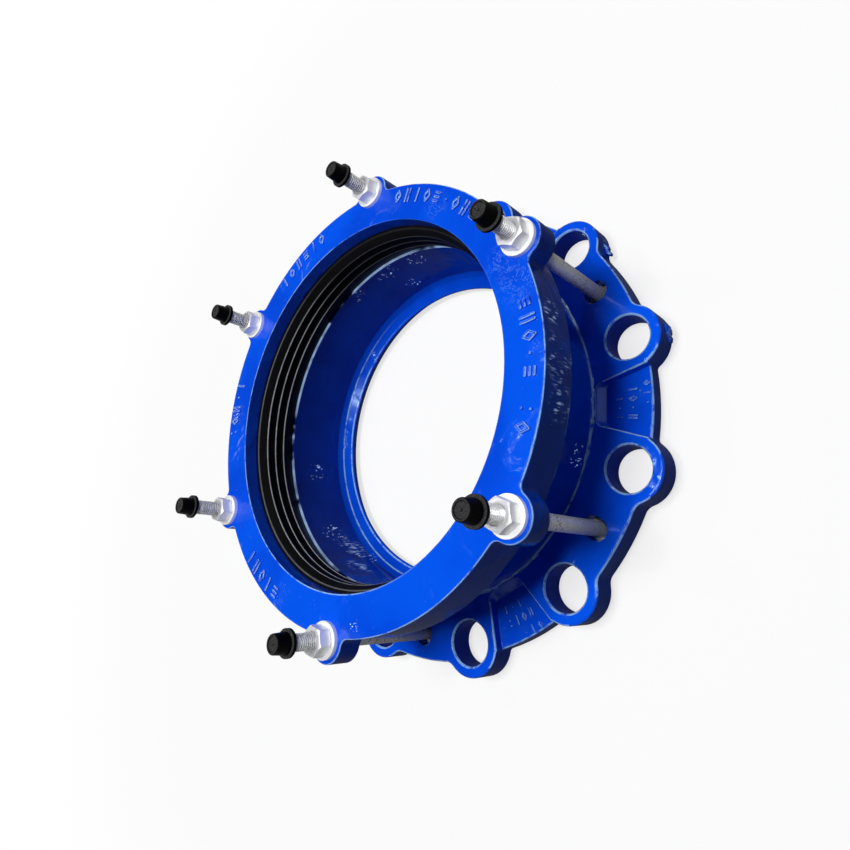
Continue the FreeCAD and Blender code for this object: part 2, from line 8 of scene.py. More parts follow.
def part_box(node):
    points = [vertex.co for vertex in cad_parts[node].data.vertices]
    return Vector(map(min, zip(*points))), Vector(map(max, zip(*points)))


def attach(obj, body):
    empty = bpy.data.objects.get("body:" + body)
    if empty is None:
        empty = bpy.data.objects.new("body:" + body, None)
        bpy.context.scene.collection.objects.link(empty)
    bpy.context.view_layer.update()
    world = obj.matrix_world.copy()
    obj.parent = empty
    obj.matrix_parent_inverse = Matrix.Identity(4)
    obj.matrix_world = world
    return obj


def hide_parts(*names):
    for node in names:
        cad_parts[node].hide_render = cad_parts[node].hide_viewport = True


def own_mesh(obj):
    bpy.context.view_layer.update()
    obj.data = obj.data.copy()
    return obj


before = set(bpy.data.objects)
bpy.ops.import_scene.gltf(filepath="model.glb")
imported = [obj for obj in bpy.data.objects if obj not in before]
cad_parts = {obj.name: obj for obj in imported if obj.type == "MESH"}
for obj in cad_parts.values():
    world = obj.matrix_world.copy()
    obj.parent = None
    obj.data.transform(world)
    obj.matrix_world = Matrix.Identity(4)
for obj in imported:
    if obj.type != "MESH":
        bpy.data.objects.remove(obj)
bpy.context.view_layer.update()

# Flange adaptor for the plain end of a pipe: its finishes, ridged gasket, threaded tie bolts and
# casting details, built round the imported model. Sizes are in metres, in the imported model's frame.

bl_info = {
    "name": "Flange adaptor",
    "version": (1, 0, 0),
    "blender": (4, 5, 0),
    "location": "3D View > Sidebar > Adaptor",
    "description": "Finishes, gasket, threads and casting details of a pipe flange adaptor",
    "category": "Object",
}

MM = 0.001


def mm(*lengths):
    """Lengths in mm, as a tuple in metres."""
    return tuple(length * MM for length in lengths)


def polar(radius, turn, height=0):
    """The point at a radius, a turn about the upright axis and a height."""
    return Vector((radius * math.cos(turn), radius * math.sin(turn), height))


TIES = range(1, 7)
TIE_STEP = 360 / len(TIES)
METAL = "bolts_nuts_washers"

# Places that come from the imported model.
BOLT_LOW, BOLT_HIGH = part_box("tie_bolt_1")
WASHER_LOW, WASHER_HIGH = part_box("washer_1")
TIE_RADIUS = (WASHER_LOW.x + WASHER_HIGH.x) / 2
RING_FACE = WASHER_LOW.z

# The camera: place, turn about X, Y and Z in degrees, lens and film width in mm, shift as shares of
# that width, and how near and far it sees.
CAMERA_PLACE = (0.219926, -0.231763, 0.357675)
CAMERA_TURN = (17.6683, 41.5721, -24.9816)
CAMERA_LENS = 26.2314
CAMERA_FILM = 36
CAMERA_SHIFT = (-0.012607, -0.042985)
CAMERA_CLIP = (0.02, 200)

# The lamps: name, place, aim, the setting of the power and the share of it, width and depth.
LAMPS = (
    ("main", (0, 0, 2.5), (0, 0, 0.06), "key_power", 1, 0.9, 0.9),
    ("glint_high", (-0.1, 0.12, 1.6), (0, 0, 0.06), "glint_power", 1, 0.05, 0.05),
    ("glint_low", (-0.4, 0.4, 1.45), (0, 0, 0.06), "glint_power", 0.4, 0.04, 0.04),
    ("metal", (0.45, -0.25, 0.7), (0, 0, 0.1), "metal_power", 1, 0.12, 0.12),
    ("edge", (0.75, 0.55, 0.25), (0.1, 0, 0.06), "edge_power", 1, 0.04, 0.6),
)

# The floor: half its size, its divisions, its height, and the distances from the axis over which it turns
# white to the eye and over which its painted shade near the axis, seen in reflections, turns bright.
FLOOR_REACH = 30
FLOOR_CELLS = 8
FLOOR_HEIGHT = -0.2 * MM
FLOOR_WHITE = (0.3, 0.8)
FLOOR_BRIGHT = (0.24, 0.6)

# The sky, by height on a globe of radius 1: where reflections darken and where its light fades.
SKY_BAND = (0.2, 0.4)
SKY_FADE = (0.0, 0.6)
SKY_DARK = (0.02, 0.02, 0.022, 1)
SKY_LOW = (0.05, 0.05, 0.055, 1)
SKY_HIGH = (0.04, 0.04, 0.045, 1)

# Colours inside the finishes, beside those that can be set.
BLACK = (0, 0, 0, 1)
WHITE = (1, 1, 1, 1)
COAT_SHINE = (0.5, 0.75, 1.0, 1)
# Painted glints on the coat, and the glow they give off though they are no lamp.
COAT_GLINT = (0.6, 0.72, 1.0, 1)
COAT_GLOW = (0.42, 0.62, 1.0, 1)
RUBBER_BLOOM = (0.018, 0.018, 0.020, 1)
# Glow of the painted highlights on the gasket's lips.
RUBBER_GLOW = (0.5, 0.5, 0.51, 1)
ZINC_CLOUD = (0.80, 0.81, 0.83, 1)
# Painted shade low on the shank.
ZINC_SHADE = (0.26, 0.27, 0.28, 1)
# Dark of the dirt specks and of the thread's roots.
ZINC_DARK = (0.12, 0.12, 0.13, 1)
PLATING_CLOUD = (0.84, 0.85, 0.87, 1)
PLATING_EDGE = (0.34, 0.35, 0.38, 1)
PLATING_KNOCK = (0.55, 0.56, 0.58, 1)
# Scuffs on a cap's end and the painted highlight on its rims.
PLASTIC_SCUFF_AND_HIGHLIGHT = (0.075, 0.075, 0.078, 1)

# How far the finishes round edges in their shading, and how deep their grain is.
COAT_ROUNDING, PLATING_ROUNDING, PLASTIC_ROUNDING = mm(1.2, 0.35, 0.45)
ROUNDING_SAMPLES = 4
RUBBER_GRAIN, ZINC_GRAIN, PLATING_GRAIN, PLASTIC_GRAIN = mm(0.12, 0.16, 0.07, 0.09)

# The coat's noises: scale, detail, roughness, distortion, and the share of the scale upright.
COAT_NOISES = {
    "broad": (16, 2, 0.55, 0, 1),
    "patch": (38, 2, 0.6, 0.4, 1),
    "swell": (95, 2, 0.5, 0.5, 1),
    "grain": (260, 3, 0.6, 0.2, 1),
    "peel": (700, 2, 0.5, 0, 1),
    "runs": (240, 3, 0.55, 0.8, 0.25),
    "fine_runs": (760, 1, 0.4, 0, 0.2),
    "blobs": (560, 2, 0.6, 0.4, 0.6),
}

# The noises that lift the coat: how much, the share that shows everywhere, and what rough skin adds.
COAT_RELIEF = (("swell", 0.7, 0.14, 1.2), ("runs", 0.5, 0.05, 1.8), ("grain", 0.3, 0.06, 1.4))

# Where the cast skin is roughest: angle, radius and height, and how far it reaches, in mm.
ROUGH_SPOTS = (
    (-27, 147, 94, 20), (-36, 147, 90, 16), (-12, 136, 106, 16), (-3, 134, 106, 12), (30, 136, 106, 12),
    (200, 120.3, 32, 20), (215, 120.3, 45, 16), (-75, 150, 12, 18), (-140, 138, 106, 12),
)

# Where painted reflections run as streak lines along the runs in the coat, in the same terms.
STREAK_SPOTS = (
    (-27, 147, 93, 17), (-36, 147, 90, 13), (-17, 147, 96, 10), (203, 120.3, 30, 16),
    (215, 120.3, 40, 12), (-15.5, 171, 8, 9), (11, 171, 8, 7),
)

# Where painted light lines stand for the highlights of a fine rippling of the ring's face, in the same
# terms.
RIPPLE_SPOTS = ((-9, 137, 106, 17), (-1, 133, 106, 13), (31, 133, 106, 12), (150, 136, 106, 12))

# Where painted glints lie in clusters of bright specks, in the same terms.
SPECK_SPOTS = (
    (62, 120.3, 54, 13), (76, 120.3, 56, 14), (74, 120.3, 30, 9), (92, 120.3, 58, 10),
    (168, 120.3, 40, 12), (195, 120.3, 40, 15), (208, 120.3, 22, 12), (-20, 128, 50, 12),
    (-45, 130, 30, 12), (15, 170, 14, 9), (150, 139, 106, 9), (250, 139, 106, 6),
)

# Painted thin highlights are strongest near a spot: its angle, radius and height, and where the painted
# highlight starts and is full, in mm.
LIP_SHINE = (185, 90, 10, 160, 95)
FACE_SHINE = (165, 90, 106, 190, 120)
GASKET_SHINE = (185, 90, 85, 165, 110)

# Arrises with the painted highlight are told by how far they face up and by radius: start, full, begin to
# fade, end.
ARRIS_FACING = (0.3, 0.45, 0.85, 0.97)
ARRIS_RADII = mm(121, 122, 171.2, 172)

# The ramps into the pockets face up as much, and are left out: radius, half width and where that
# fades, and the heights over which they end.
RAMP = mm(131.5, 2.6, 3.2)
RAMP_TOP = mm(19.5, 20)

# Painted highlight lines: radius or height, half width and where that fades. Two run along the body's
# tapered lip, one inside the ring's face and a broken one at the foot of the gasket's seat.
LIP_LINES = (mm(116.6, 0.28, 0.6), mm(110.8, 0.28, 0.6))
FACE_LINE = mm(122.3, 0.25, 0.55)
FACE_HEIGHTS = mm(105.7, 105.9)
SEAT_LINE = mm(62.7, 0.3, 0.9)
SEAT_RADII = mm(122, 123)

# The gasket's section, from the foot up the outside and down the ridged bore: radius, height and
# rounding of each corner in mm.
GASKET_SECTION = (
    (122.2, 63.3, 0.6), (131.7, 82.3, 2.0), (131.7, 95.7, 1.2), (120.0, 95.7, 0.8),
    (117.0, 89.7, 0.5), (117.0, 88.3, 0.35), (118.6, 88.3, 0.5),
    (117.0, 82.3, 0.5), (117.0, 80.9, 0.35), (118.6, 80.9, 0.5),
    (117.0, 74.9, 0.5), (117.0, 73.5, 0.5), (121.5, 63.3, 0.3),
)

# The steps round a corner of the section, and the share of a side that a corner can take.
CORNER_STEPS = 4
CORNER_SHARE = 0.45

# The gasket's lips: radius and height in mm, and how bright the painted highlight on each one is. Then
# where a lip's painted line begins to fade and ends, up or down from it, and outward.
GASKET_LIPS = ((120.0, 95.5, 0.15), (117.0, 89.4, 1.0), (117.0, 82.1, 1.0), (117.0, 74.7, 1.0))
LIP_LINE = mm(0.25, 0.6)
LIP_REACH = mm(0.2, 0.7)

# Within this radius and below this height the ridges stray from true circles: sideways by waves
# (depth in mm, waves in a turn, start) and upward by one (depth, waves, start for each metre up).
RIDGE_RADIUS = 119.5 * MM
RIDGE_TOP = 93.5 * MM
RIDGE_SWAYS = ((0.06, 5, 1.0), (0.04, 11, 0.0))
RIDGE_LIFT = (0.08, 7, 900)

# The dull zinc: the heights over which its painted shade low on the shank lightens, those from the
# thread's foot over which it turns bright, and the depths between which the thread's roots darken.
SHADE_HEIGHTS = mm(24, 62)
ROLLED_HEIGHTS = mm(-6, 2)
ROOT_DEPTHS = mm(0.75, 0.25)

# The rolled thread's section over one pitch: share of the pitch, share of the depth.
THREAD_SECTION = (
    (0.0, 0.0), (0.12, 0.0), (0.29, 0.5), (0.45, 0.95), (0.55, 1.0), (0.65, 0.95), (0.83, 0.5),
)

# The thread fades in over this many pitches, and ends this much thinner, in a taper of this slope.
THREAD_FADE = 1.2
THREAD_END_STEP = 1.0 * MM
THREAD_END_SLOPE = 1.1

# The fillet at a shank's foot, in mm beyond the shank and above the head, and the shank's levels, as
# shares of its length.
SHANK_FILLET = ((0.6, -0.2), (0.25, 0.3), (0.0, 0.9))
SHANK_LEVELS = (0.15, 0.3, 0.45, 0.6, 0.75, 0.9, 1.0)

# The oblong head: its corners' radius and steps, and its softened edges, in mm in from its side and
# from its end.
HEAD_CORNER = 2 * MM
HEAD_STEPS = 4
HEAD_EDGE = ((0.7, 0.0), (0.2, 0.2), (0.0, 0.7))

# Points closer than this are one point.
TOUCHING = 1e-7

# A bolt's edges above this many degrees stay sharp.
SHARP_ANGLE = 50

# The nub in a cap's dish: share of its radius and height in mm, the height of its tip, its
# divisions, and how far its foot lies below the cap's top.
CAP_NUB = ((1.25, 0.0), (1.0, 0.1), (0.8, 0.28), (0.4, 0.36))
CAP_NUB_TIP = 0.38 * MM
CAP_NUB_SEGMENTS = 20
CAP_DISH = 0.55 * MM

# Raised marks: strokes in a cell one unit wide and high, as (from, to), and a cell's width for its
# height.
MARKS = {
    "bar": (((0.5, 0.05), (0.5, 0.95)),),
    "pair": (((0.28, 0.05), (0.28, 0.95)), ((0.72, 0.05), (0.72, 0.95))),
    "dot": (((0.5, 0.5), (0.5, 0.501)),),
    "dots": (((0.5, 0.2), (0.5, 0.201)), ((0.5, 0.8), (0.5, 0.801))),
    "steps": (((0.2, 0.2), (0.8, 0.2)), ((0.2, 0.5), (0.8, 0.5)), ((0.2, 0.8), (0.8, 0.8))),
    "gem": (((0.5, 0.1), (0.85, 0.5)), ((0.85, 0.5), (0.5, 0.9)), ((0.5, 0.9), (0.15, 0.5)),
            ((0.15, 0.5), (0.5, 0.1))),
}
MARK_WIDTH = 0.7

# A stroke's drafted side, as shares of its half width and of its rise, and the steps round an end.
STROKE_SECTION = ((1.0, -0.15), (0.86, 0.45), (0.62, 0.86), (0.3, 1.0))
STROKE_STEPS = 5

# The rows on the ring's face: radius, cell and height of all, then each row's middle and marks.
RING_ROW = mm(138.5, 9.6, 9.5)
RING_ROWS = (
    (32, ("gem", "pair", "bar", "gem", "steps", "dot", "gem", "pair", "steps")),
    (-29, ("steps", "pair", "gem", "dot", "steps", "gap", "dots", "gem")),
    (92, ("bar", "gem", "pair", "steps", "bar", "gem")),
    (148, ("dots", "gem", "pair", "dot", "bar")),
    (208, ("steps", "bar", "gem", "pair", "bar")),
)

# The rows in a pocket of the flange: turn from the pocket's middle, radius, cell and height, size
# of the strokes, and the marks, which take turns from pocket to pocket.
POCKET_ROWS = (
    (0, mm(150.5, 5.6, 5.5), 0.72, (("pair", "gem", "bar", "dots"), ("bar", "gem", "dot", "pair"))),
    (2, mm(159.5, 6.0, 4.6), 0.66, (("gem", "bar", "dot"),)),
    (-1, mm(142.0, 5.6, 4.2), 0.6, (("bar", "dot", "bar"),)),
)
POCKET_FLOOR = 13.5 * MM

# Rough nubs on the lugs' sides: angle, radius and height in mm, and size. For a nub of size 1, half
# its width and height, and for all, how deep they are crumpled and how finely divided.
NUBS = (
    (10.4, 170.9, 8.0, 1.0), (9.0, 169.4, 6.5, 0.8), (-15.5, 175.9, 8.5, 1.1), (-17.0, 174.9, 6.0, 0.8),
)
NUB_HALF_WIDTH = 4.0 * MM
NUB_HALF_HEIGHT = 4.2 * MM
NUB_CRUMPLE = 0.16 * MM
NUB_SUBDIVISIONS = 4


# What the settings' kinds have in common.
COLOUR = {"subtype": "COLOR", "size": 4, "min": 0, "max": 1}
LENGTH = {"subtype": "DISTANCE", "unit": "LENGTH"}
POWER = {"unit": "POWER", "min": 0}


class CoatSettings(bpy.types.PropertyGroup):
    """The blue coat on the castings."""

    colour: bpy.props.FloatVectorProperty(
        name="Colour", description="Colour of the coat", default=(0.001, 0.096, 0.88, 1), **COLOUR)
    deep: bpy.props.FloatVectorProperty(
        name="Deep colour", description="Colour where the coat has run thick",
        default=(0.001, 0.07, 0.74, 1), **COLOUR)
    edge: bpy.props.FloatVectorProperty(
        name="Edge colour", description="Colour where the coat is thin on edges",
        default=(0.01, 0.17, 1.0, 1), **COLOUR)
    # Colour of the painted highlight along the arrises.
    arris_highlight: bpy.props.FloatVectorProperty(
        name="Arris colour", description="Colour along the rounded arrises",
        default=(0.36, 0.64, 1.0, 1), **COLOUR)
    gloss: bpy.props.FloatProperty(
        name="Roughness", description="Roughness of the coat", subtype="FACTOR", min=0, max=1,
        default=0.12)
    relief: bpy.props.FloatProperty(
        name="Casting relief", description="Depth of the cast surface under the coat", min=0,
        default=0.0006, **LENGTH)


class RubberSettings(bpy.types.PropertyGroup):
    """The gasket."""

    colour: bpy.props.FloatVectorProperty(
        name="Colour", description="Colour of the rubber", default=(0.005, 0.005, 0.0055, 1), **COLOUR)
    # Colour of the painted highlights on the ridges' lips.
    lip: bpy.props.FloatVectorProperty(
        name="Lip colour", description="Colour of the ridges' polished lips",
        default=(0.75, 0.75, 0.755, 1), **COLOUR)
    segments: bpy.props.IntProperty(
        name="Segments", description="Divisions round the gasket", min=48, default=288)
    squeezed: bpy.props.FloatProperty(
        name="Squeezed height", description="Share of the height left when drawn up", subtype="FACTOR",
        min=0.1, max=1, default=0.63)


class BoltSettings(bpy.types.PropertyGroup):
    """The tie bolts, washers and nuts."""

    shank_colour: bpy.props.FloatVectorProperty(
        name="Shank colour", description="Colour of the dull zinc", default=(0.74, 0.75, 0.76, 1),
        **COLOUR)
    bright_colour: bpy.props.FloatVectorProperty(
        name="Nut colour", description="Colour of the bright zinc", default=(0.95, 0.95, 0.96, 1),
        **COLOUR)
    shank_radius: bpy.props.FloatProperty(
        name="Shank radius", description="Radius below the thread", min=0.001, default=0.0046, **LENGTH)
    thread_radius: bpy.props.FloatProperty(
        name="Thread radius", description="Radius over the crests", min=0.001, default=0.005, **LENGTH)
    thread_depth: bpy.props.FloatProperty(
        name="Thread depth", description="Depth from crest to root", min=0.0001, default=0.0009, **LENGTH)
    pitch: bpy.props.FloatProperty(
        name="Pitch", description="Distance between the crests", min=0.0002, default=0.0015, **LENGTH)
    thread_foot: bpy.props.FloatProperty(
        name="Thread foot", description="Height at which the thread starts", min=0, default=0.0906,
        **LENGTH)
    head_height: bpy.props.FloatProperty(
        name="Head height", description="Thickness of the oblong head", min=0.001, default=0.0075,
        **LENGTH)
    segments: bpy.props.IntProperty(
        name="Segments", description="Divisions round a bolt", min=12, default=36)


class CapSettings(bpy.types.PropertyGroup):
    """The push-on caps."""

    colour: bpy.props.FloatVectorProperty(
        name="Colour", description="Colour of the plastic", default=(0.003, 0.003, 0.0033, 1), **COLOUR)
    nub_radius: bpy.props.FloatProperty(
        name="Nub radius", description="Radius of the moulding nub in a cap's dish", min=0.0001,
        default=0.0008, **LENGTH)


class MarkSettings(bpy.types.PropertyGroup):
    """The raised marks on the castings."""

    stroke: bpy.props.FloatProperty(
        name="Stroke", description="Width of a raised stroke", min=0.0002, default=0.0019, **LENGTH)
    rise: bpy.props.FloatProperty(
        name="Rise", description="Height of a mark above its face", min=0.0001, default=0.0015, **LENGTH)
    nub_rise: bpy.props.FloatProperty(
        name="Nub rise", description="How far a casting nub stands out", min=0.0005, default=0.0017,
        **LENGTH)


class StageSettings(bpy.types.PropertyGroup):
    """Floor and light."""

    floor_colour: bpy.props.FloatVectorProperty(
        name="Floor colour", description="Colour of the floor", default=(0.95, 0.95, 0.95, 1), **COLOUR)
    bounce_colour: bpy.props.FloatVectorProperty(
        name="Bounce colour", description="Colour of the light the floor throws back",
        default=(0.06, 0.06, 0.06, 1), **COLOUR)
    key_power: bpy.props.FloatProperty(
        name="Main lamp", description="Power of the soft lamp overhead", default=51, **POWER)
    glint_power: bpy.props.FloatProperty(
        name="Glint lamp", description="Power of the small lamp that edges glint in", default=2, **POWER)
    metal_power: bpy.props.FloatProperty(
        name="Metal lamp", description="Power of the lamp that lights the bolts and nuts alone",
        default=3.2, **POWER)
    edge_power: bpy.props.FloatProperty(
        name="Edge lamp", description="Power of the narrow lamp for the edges", default=0.8, **POWER)


class Wire:
    """A value in a material. Arithmetic on it adds Math nodes."""

    def __init__(self, finish, socket):
        self.finish = finish
        self.socket = socket

    def calculate(self, operation, *values):
        return self.finish.node("Math", {"operation": operation}, dict(enumerate(values)))

    def __add__(self, other):
        return self.calculate("ADD", self, other)

    def __radd__(self, other):
        return self.calculate("ADD", other, self)

    def __sub__(self, other):
        return self.calculate("SUBTRACT", self, other)

    def __rsub__(self, other):
        return self.calculate("SUBTRACT", other, self)

    def __mul__(self, other):
        return self.calculate("MULTIPLY", self, other)

    def __rmul__(self, other):
        return self.calculate("MULTIPLY", other, self)


class Finish:
    """A node tree that is being filled, with the one way that nodes get into it."""

    def __init__(self, tree):
        self.tree = tree
        self.tree.nodes.clear()

    def node(self, kind, settings=None, sockets=None, out=0):
        """Add a node: first its settings, then its sockets' values or links. Gives one output."""
        made = self.tree.nodes.new("ShaderNode" + kind)
        for name, setting in (settings or {}).items():
            setattr(made, name, setting)
        for name, value in (sockets or {}).items():
            if isinstance(value, Wire):
                self.tree.links.new(value.socket, made.inputs[name])
            else:
                made.inputs[name].default_value = value
        return Wire(self, made.outputs[out]) if len(made.outputs) else None

    def place(self):
        return self.node("TexCoord", out="Object")

    def part(self, vector, axis):
        return self.node("SeparateXYZ", {}, {0: vector}, axis)

    def vector(self, operation, *vectors, out="Value"):
        return self.node(
            "VectorMath", {"operation": operation}, dict(enumerate(vectors)), out)

    def stretch(self, place, scales):
        return self.vector("MULTIPLY", place, scales, out="Vector")

    def from_axis(self, place):
        """Distance of a place from the upright axis."""
        return self.vector("LENGTH", self.stretch(place, (1, 1, 0)))

    def facing_up(self, normal):
        """How far the surface faces up, from -1 to 1, by its true or its smooth normal."""
        return self.part(self.node("NewGeometry", out=normal), "Z")

    def noise(self, place, scale, detail, roughness, distortion=0.0):
        return self.node("TexNoise", {}, {
            "Vector": place, "Scale": scale, "Detail": detail, "Roughness": roughness,
            "Distortion": distortion})

    def cells(self, place, scale):
        """Distance from the nearest of many scattered points."""
        return self.node("TexVoronoi", {}, {"Vector": place, "Scale": scale}, "Distance")

    def rise(self, value, low, high):
        """A smooth step from 0 to 1 as the value goes from low to high."""
        return self.node("MapRange", {"interpolation_type": "SMOOTHSTEP"}, {
            "Value": value, "From Min": low, "From Max": high})

    def band(self, value, low, full, fall, end):
        """A smooth step up from low to full and down again from fall to end."""
        return self.rise(value, low, full) * (1 - self.rise(value, fall, end))

    def line(self, value, middle, half, fade):
        """1 where the value is within half of the middle, then fading out."""
        off = self.node("Math", {"operation": "ABSOLUTE"}, {0: value - middle})
        return 1 - self.rise(off, half, fade)

    def reach(self, place, angle, radius, height):
        """Distance from a place given by its angle, and its radius and height in mm."""
        return self.vector("DISTANCE", place, polar(radius * MM, math.radians(angle), height * MM))

    def spots(self, place, spots):
        """1 in the middle fifth of each spot, fading to 0 at its reach."""
        return sum(1 - self.rise(self.reach(place, *spot), 0.2 * reach * MM, reach * MM)
                   for *spot, reach in spots)

    def shine(self, place, spot):
        """1 near a spot, fading to 0 away from it."""
        *middle, start, full = spot
        return self.rise(self.reach(place, *middle), start * MM, full * MM)

    def mix(self, share, first, second):
        sockets = {0: share, 6: first, 7: second}
        return self.node("Mix", {"data_type": "RGBA"}, sockets, 2)

    def rounded(self, radius):
        """The normal as if edges were rounded, and how near an edge is, from 0 to 1."""
        normal = self.node("Bevel", {"samples": ROUNDING_SAMPLES}, {"Radius": radius})
        flat = self.node("NewGeometry", out="Normal")
        return normal, self.rise(1 - self.vector("DOT_PRODUCT", normal, flat), 0.01, 0.22)

    def bump(self, height, distance, **more):
        return self.node("Bump", {}, {"Height": height, "Distance": distance, **more})

    def ray(self, kind):
        """1 where the ray is of a kind, else 0."""
        return self.node("LightPath", out="Is %s Ray" % kind)

    def seen(self):
        """1 for what the camera, a reflection or a clear piece shows, else 0."""
        rays = {0: self.ray("Camera"), 1: self.ray("Glossy") + self.ray("Transmission")}
        return self.node("Math", {"operation": "ADD", "use_clamp": True}, rays)

    def surface(self, sockets):
        shader = self.node("BsdfPrincipled", {}, sockets)
        self.node("OutputMaterial", {}, {"Surface": shader})


def new_finish(name):
    """A new material and the tree to fill."""
    material = bpy.data.materials.new(name)
    material.use_nodes = True
    return material, Finish(material.node_tree)


# In the finishes below a noise runs from 0 to 1 about 0.5. The two numbers of a rise over a noise are
# where that look starts and where it is full. Other numbers are shares of what they multiply.


def coat_noises(coat, place):
    """The coat's noises, by name."""
    return {name: coat.noise(coat.stretch(place, (1, 1, upright)), *kind)
            for name, (*kind, upright) in COAT_NOISES.items()}


def coat_relief(coat, place, noises, rough_cast):
    """Height of the coat: orange peel and a few specks all over, pits and swells on rough skin."""
    pits = coat.rise(coat.cells(place, 210), 0.02, 0.22)
    specks = 1 - coat.rise(coat.cells(place, 330), 0.06, 0.16)
    height = (noises["peel"] * 0.03 + pits * 0.2 * rough_cast
              + specks * 0.3 * coat.rise(noises["grain"], 0.5, 0.6))
    for name, lift, everywhere, rough in COAT_RELIEF:
        height = height + noises[name] * lift * (everywhere + rough * rough_cast)
    return height


def coat_arrises(coat, place):
    """1 where highlights are painted: the rounded arrises that face partly up, and the thin lines of the
    body's lip and the ring's face.
    """
    out = coat.from_axis(place)
    up = coat.part(place, "Z")
    ramps = coat.line(out, *RAMP) * (1 - coat.rise(up, *RAMP_TOP))
    arrises = (coat.band(coat.facing_up("Normal"), *ARRIS_FACING) * coat.band(out, *ARRIS_RADII)
               * (1 - ramps))
    on_lip = sum(coat.line(out, *line) for line in LIP_LINES) * coat.shine(place, LIP_SHINE)
    on_face = (coat.line(out, *FACE_LINE) * coat.rise(up, *FACE_HEIGHTS)
               * coat.shine(place, FACE_SHINE))
    return arrises + on_lip + on_face


def coat_glints(coat, place, noises):
    """Painted glints: clusters of bright specks, painted reflection down the runs in streak lines, and a
    broken painted highlight at the gasket's seat.
    """
    patch, grain = noises["patch"], noises["grain"]
    clusters = coat.spots(place, SPECK_SPOTS) + 0.7 * (patch - 0.5) + 0.8 * (grain - 0.5)
    speck_glints = coat.rise(noises["blobs"], 0.62, 0.67) * coat.rise(clusters, 0.3, 0.55)
    reflection_streaks = (coat.rise(noises["fine_runs"], 0.5, 0.62) * coat.rise(noises["swell"], 0.4, 0.62)
               * coat.spots(place, STREAK_SPOTS))
    seat_glint = (coat.line(coat.part(place, "Z"), *SEAT_LINE)
               * (1 - coat.rise(coat.from_axis(place), *SEAT_RADII)) * coat.rise(patch, 0.4, 0.55))
    return speck_glints + seat_glint * 0.8 + reflection_streaks * 0.7


def coat_finish(settings):
    """Glossy epoxy on a casting: orange peel, cast relief in patches, thin bright edges, painted
    highlights and painted glints that glow.
    """
    material, coat = new_finish("blue_epoxy_coat")
    place = coat.place()
    normal, edge = coat.rounded(COAT_ROUNDING)
    noises = coat_noises(coat, place)
    patch, swell, grain = noises["patch"], noises["swell"], noises["grain"]
    rough_cast = 0.55 * coat.rise(patch, 0.54, 0.7) + coat.spots(place, ROUGH_SPOTS)
    height = coat_relief(coat, place, noises, rough_cast)
    tone = coat.mix(coat.rise(noises["broad"] + 0.35 * (patch - 0.5), 0.36, 0.62),
                    settings.deep, settings.colour)
    # Painted highlight on up-facing arrises, which also stands for coat thinned by wear, and on the
    # painted lines, broken up by noise.
    edge_tone = coat_arrises(coat, place) * coat.rise(grain * 0.5 + swell * 0.5, 0.34, 0.54)
    # Painted highlight lines of the fine rippling on the ring's face.
    ripple_highlights = coat.line(noises["runs"], 0.5, 0.008, 0.035) * coat.spots(place, RIPPLE_SPOTS)
    thin = coat.mix(edge * (0.45 + 0.5 * noises["peel"]), tone, settings.edge)
    edged = coat.mix(edge_tone * 0.85 + ripple_highlights * 0.16, thin, settings.arris_highlight)
    # Painted glints: lighter in colour and glowing through the emission.
    glints = coat_glints(coat, place, noises)
    coat.surface({
        "Base Color": coat.mix(glints, edged, COAT_GLINT),
        "Roughness": settings.gloss + 0.10 * (grain - 0.5) + 0.10 * rough_cast - 0.05 * edge,
        "IOR": 1.5, "Specular IOR Level": 0.36, "Specular Tint": COAT_SHINE,
        "Coat Weight": 0.06, "Coat Roughness": 0.04,
        "Emission Color": coat.mix(glints * swell, BLACK, COAT_GLOW), "Emission Strength": 1.1,
        "Normal": coat.bump(height, settings.relief, Normal=normal)})
    material.cycles.emission_sampling = "NONE"
    return material


def gasket_lip_highlights(rubber, place):
    """1 along the painted highlights on the gasket's lips, most of all near one spot."""
    out = rubber.from_axis(place)
    up = rubber.part(place, "Z")
    lips = 0
    for radius, height, highlight_share in GASKET_LIPS:
        outward = 1 - rubber.rise(out, *(radius * MM + reach for reach in LIP_REACH))
        lips = lips + rubber.line(up, height * MM, *LIP_LINE) * outward * highlight_share
    return lips * (0.12 + 0.88 * rubber.shine(place, GASKET_SHINE))


def rubber_finish(settings):
    """Black rubber with a mould's fine grain, a faint bloom and glowing painted highlights on the lips.
    """
    material, rubber = new_finish("black_rubber")
    place = rubber.place()
    grain = rubber.noise(place, 1500, 3, 0.6)
    patch = rubber.noise(place, 45, 4, 0.6)
    streak = rubber.noise(rubber.stretch(place, (1, 1, 6)), 120, 3, 0.6)
    bloom = rubber.rise(patch * 0.6 + streak * 0.4, 0.5, 0.75)
    lips = gasket_lip_highlights(rubber, place)
    dull = rubber.mix(bloom * 0.6, settings.colour, RUBBER_BLOOM)
    rubber.surface({
        "Base Color": rubber.mix(lips * (0.5 + 0.5 * streak), dull, settings.lip),
        "Roughness": 0.42 + 0.16 * bloom + 0.1 * (grain - 0.5) - 0.15 * lips,
        "Specular IOR Level": 0.05,
        "Emission Color": rubber.mix(lips * streak, BLACK, RUBBER_GLOW), "Emission Strength": 0.5,
        "Normal": rubber.bump(grain * 0.4 + streak * 0.6, RUBBER_GRAIN)})
    material.cycles.emission_sampling = "NONE"
    return material


